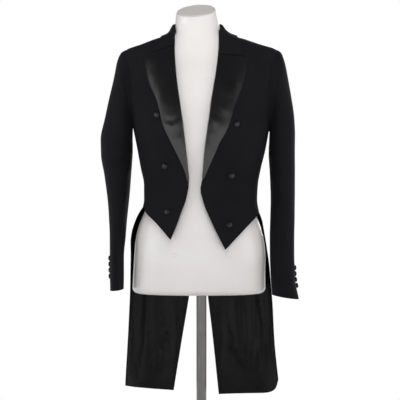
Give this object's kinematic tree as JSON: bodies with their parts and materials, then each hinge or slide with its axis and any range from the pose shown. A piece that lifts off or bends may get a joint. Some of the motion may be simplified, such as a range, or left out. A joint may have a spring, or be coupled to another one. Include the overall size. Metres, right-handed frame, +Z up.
{
  "type": "white tie tailcoat on a limbless dress form",
  "caption": "Black tailcoat with satin peaked lapels, cutaway fronts and two long tails, worn open on a limbless dress form with a pole and round base.",
  "frame": {"origin": "centre of the base's underside, on the pole's axis", "axes": "+Z up along the pole; the coat's front faces -Y and the wearer's left is at +X"},
  "size_m": [0.553, 0.36, 1.6563],
  "materials": {
    "wool": "fine black worsted wool, matt",
    "satin": "black silk satin, soft sheen",
    "tail_satin": "dark grey satin lining, soft sheen",
    "form_shell": "off-white smooth shell, semi-gloss",
    "form_cap": "pale grey cap, satin",
    "stand_chrome": "polished"
  },
  "bodies": {
    "root": {"forepart_right": "wool", "sidebody_right": "wool", "back_right": "wool", "skirt_right": "wool", "topsleeve_right": "wool", "undersleeve_right": "wool", "lapel_right": "satin", "tail_lining_right": "tail_satin", "front_button_right_1": "satin", "front_button_right_2": "satin", "front_button_right_3": "satin", "cuff_button_right_1": "satin", "cuff_button_right_2": "satin", "cuff_button_right_3": "satin", "cuff_button_right_4": "satin", "forepart_left": "wool", "sidebody_left": "wool", "back_left": "wool", "skirt_left": "wool", "topsleeve_left": "wool", "undersleeve_left": "wool", "lapel_left": "satin", "tail_lining_left": "tail_satin", "front_button_left_1": "satin", "front_button_left_2": "satin", "front_button_left_3": "satin", "cuff_button_left_1": "satin", "cuff_button_left_2": "satin", "cuff_button_left_3": "satin", "cuff_button_left_4": "satin", "collar": "wool", "form_torso": "form_shell", "form_neck_cap": "form_cap", "stand_pole": "stand_chrome", "stand_base": "stand_chrome"}
  },
  "joints": []
}
